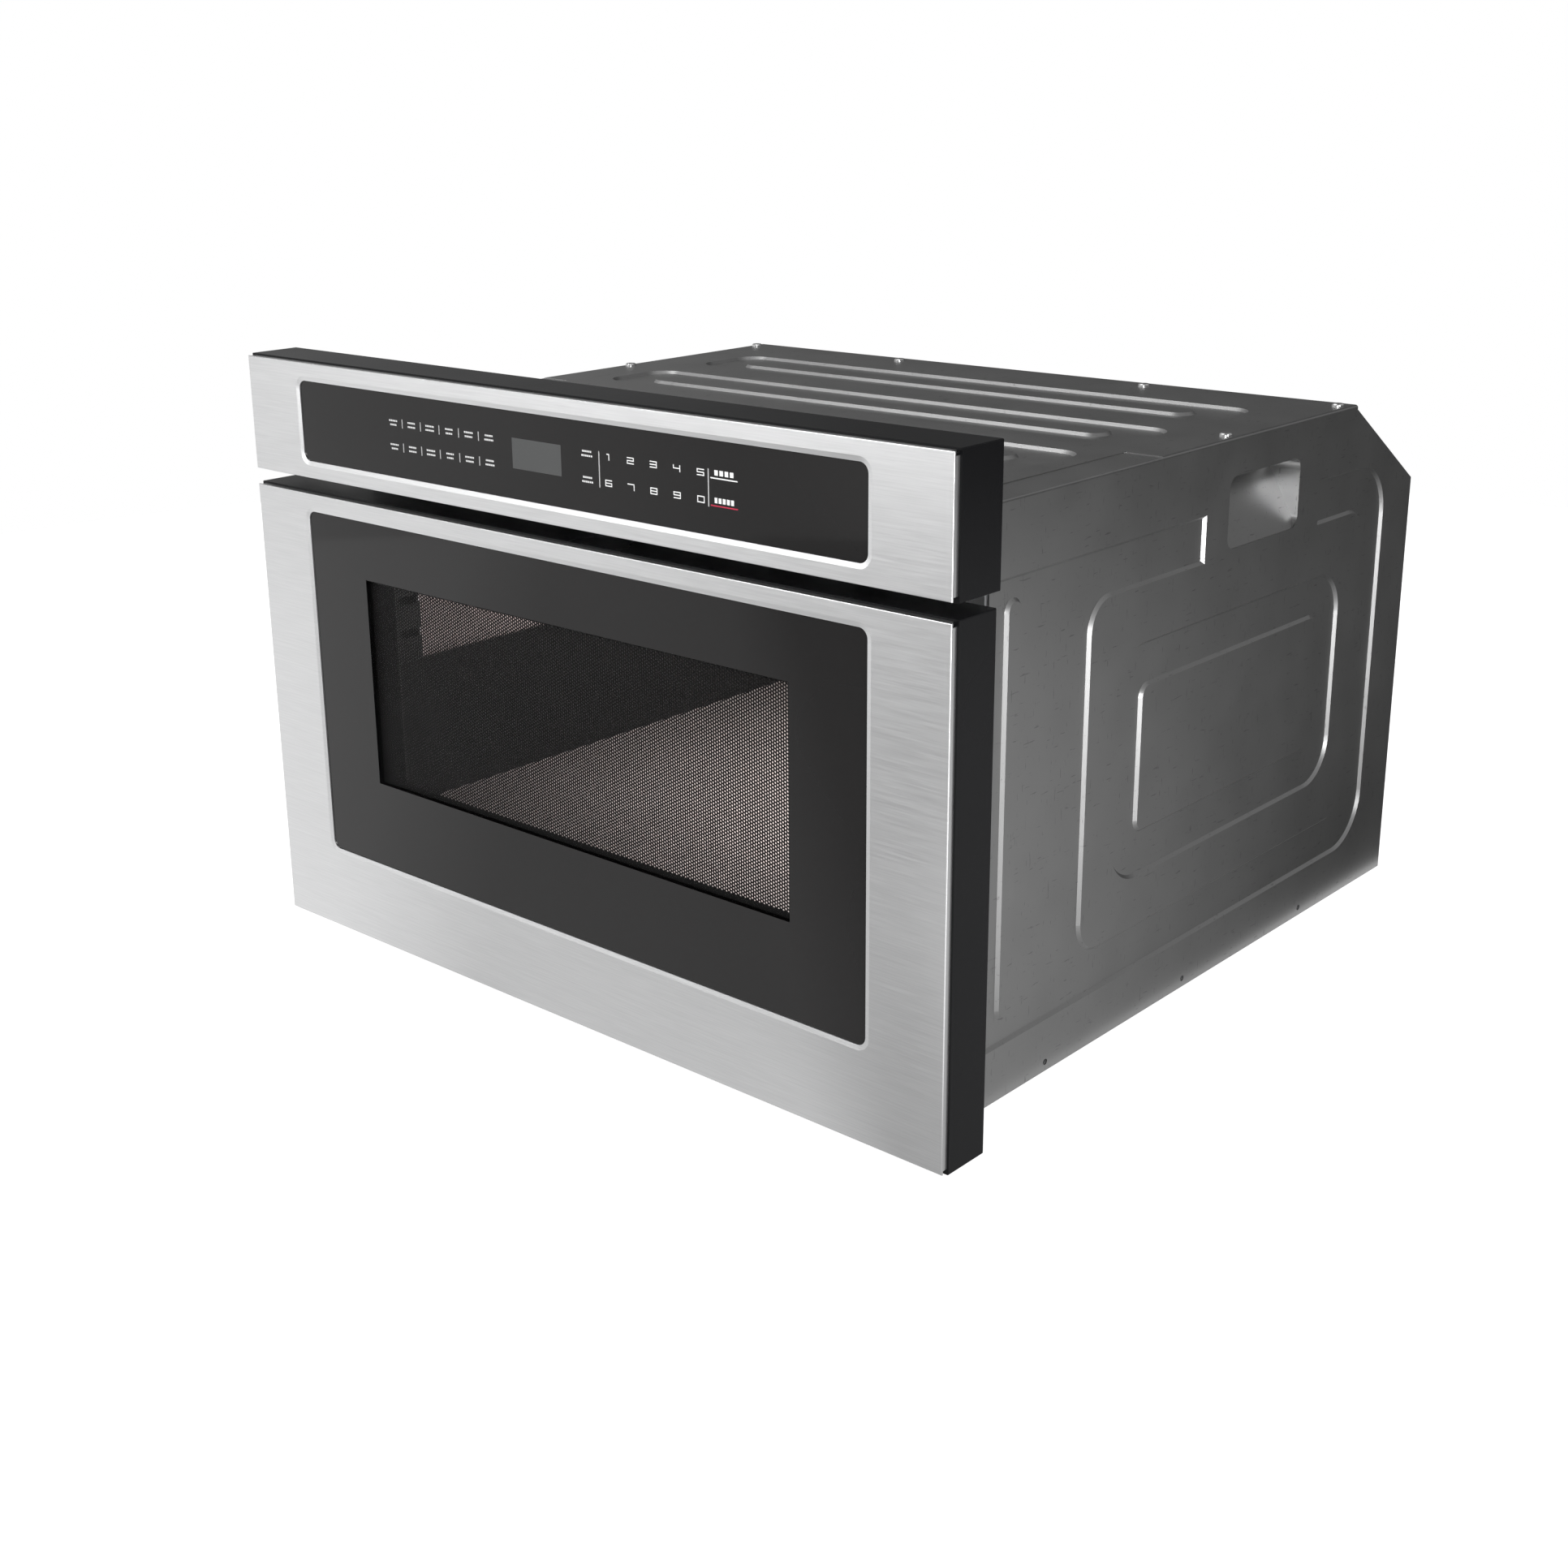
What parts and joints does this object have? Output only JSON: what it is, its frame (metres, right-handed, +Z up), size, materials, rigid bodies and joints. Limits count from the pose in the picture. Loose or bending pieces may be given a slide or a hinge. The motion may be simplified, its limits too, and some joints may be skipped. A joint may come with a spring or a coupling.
{
  "type": "microwave drawer",
  "caption": "Built-in microwave drawer with a brushed steel front, glass window, touch panel, pressed grey cabinet and a geared tray drawer.",
  "frame": {"origin": "centre of the appliance, on the surface that its pressed feet stand on", "axes": "+X to the right seen from the front, -Y out of the front, +Z up"},
  "size_m": [0.6, 0.589, 0.408],
  "materials": {
    "fascia_steel": "horizontally brushed",
    "black_moulding": "black, semi gloss",
    "front_glass": "smoked, polished",
    "clear_glass": "clear",
    "screen_black": "black, perforated",
    "coated_sheet": "grey coated sheet, satin",
    "galvanised_sheet": "galvanised, satin",
    "cavity_enamel": "pale grey enamel",
    "tray_enamel": "grey enamel",
    "pale_ceramic": "pale, satin",
    "choke_plastic": "dark grey",
    "white_plastic": "off white",
    "zinc_steel": "zinc plated",
    "bright_screw": "plated",
    "gear_plastic": "natural acetal",
    "hardened_steel": "ground",
    "aluminium_fins": "plain",
    "copper_winding": "enamelled copper",
    "laminations": "varnished steel",
    "board_green": "circuit board",
    "black_plastic": "black",
    "mica_sheet": "pale brown",
    "display_glass": "dark"
  },
  "bodies": {
    "cabinet": {"base_pan": "galvanised_sheet", "cabinet_screws": "bright_screw", "capacitor": "aluminium_fins", "capacitor_clamp": "zinc_steel", "control_board": "board_green", "control_fascia": "fascia_steel", "control_glass": "front_glass", "control_housing": "black_moulding", "display_module": "display_glass", "drive_gearbox": "black_plastic", "drive_motor": "zinc_steel", "fan_frame": "black_plastic", "fan_motor": "zinc_steel", "filter_board": "board_green", "front_plate": "galvanised_sheet", "inlet_gland": "black_plastic", "interlock_switches": "black_plastic", "lamp_bulb": "clear_glass", "lamp_holder": "zinc_steel", "left_outer_slide": "zinc_steel", "left_side_panel": "coated_sheet", "magnetron": "zinc_steel", "magnetron_fins": "aluminium_fins", "oven_cavity": "cavity_enamel", "rear_panel": "galvanised_sheet", "right_outer_slide": "zinc_steel", "right_side_panel": "coated_sheet", "shaft_bearings": "gear_plastic", "slide_brackets": "zinc_steel", "stirrer_cover": "mica_sheet", "stirrer_motor": "zinc_steel", "switch_holders": "white_plastic", "top_cover": "coated_sheet", "transformer_coils": "copper_winding", "transformer_core": "laminations", "waveguide": "galvanised_sheet"},
    "drawer": {"drawer_fascia": "fascia_steel", "drawer_glass": "front_glass", "perforated_screen": "screen_black", "drawer_housing": "black_moulding", "drawer_back_plate": "screen_black", "choke_frame": "galvanised_sheet", "choke_cover": "choke_plastic", "inner_pane": "clear_glass", "tray": "tray_enamel", "tray_base": "pale_ceramic", "left_inner_slide": "zinc_steel", "right_inner_slide": "zinc_steel", "drive_racks": "gear_plastic", "latch_hooks": "white_plastic"},
    "left_middle": {"left_middle_slide": "zinc_steel"},
    "right_middle": {"right_middle_slide": "zinc_steel"},
    "drive_shaft": {"drive_shaft": "hardened_steel", "shaft_pinions": "gear_plastic", "driven_gear": "gear_plastic"},
    "motor_gear": {"motor_gear": "gear_plastic"},
    "fan_rotor": {"fan_rotor": "black_plastic"},
    "stirrer": {"mode_stirrer": "aluminium_fins"},
    "plungers": {"switch_plungers": "white_plastic"}
  },
  "joints": [
    {"name": "drawer_slide", "type": "slide", "parent": "cabinet", "child": "drawer", "axis": [0, -1, 0], "range_m": [0, 0.37]},
    {"name": "left_middle_slide", "type": "slide", "parent": "cabinet", "child": "left_middle", "axis": [0, -1, 0], "range_m": [0, 0.185]},
    {"name": "right_middle_slide", "type": "slide", "parent": "cabinet", "child": "right_middle", "axis": [0, -1, 0], "range_m": [0, 0.185]},
    {"name": "shaft_turn", "type": "hinge", "parent": "cabinet", "child": "drive_shaft", "pos_m": [0, -0.1945, 0.03], "axis": [1, 0, 0], "range_deg": [0, 1515.2]},
    {"name": "motor_turn", "type": "hinge", "parent": "cabinet", "child": "motor_gear", "pos_m": [0.186, -0.16075, 0.03], "axis": [1, 0, 0], "range_deg": [-3030.5, 0]},
    {"name": "plunger_travel", "type": "slide", "parent": "cabinet", "child": "plungers", "axis": [0, -1, 0], "range_m": [0, 0.0015]},
    {"name": "fan_spin", "type": "hinge", "parent": "cabinet", "child": "fan_rotor", "pos_m": [-0.15, 0.2755, 0.152], "axis": [0, 1, 0], "continuous": true},
    {"name": "stirrer_spin", "type": "hinge", "parent": "cabinet", "child": "stirrer", "pos_m": [0, -0.0095, 0.272], "axis": [0, 0, 1], "continuous": true}
  ],
  "couplings": [
    {"joint": "left_middle_slide", "follows": "drawer_slide", "ratio": 0.5},
    {"joint": "right_middle_slide", "follows": "drawer_slide", "ratio": 0.5},
    {"joint": "shaft_turn", "follows": "drawer_slide", "rad_per_m": 71.429},
    {"joint": "motor_turn", "follows": "drawer_slide", "rad_per_m": -142.86},
    {"joint": "plunger_travel", "follows": "drawer_slide", "ratio": 0.004}
  ]
}
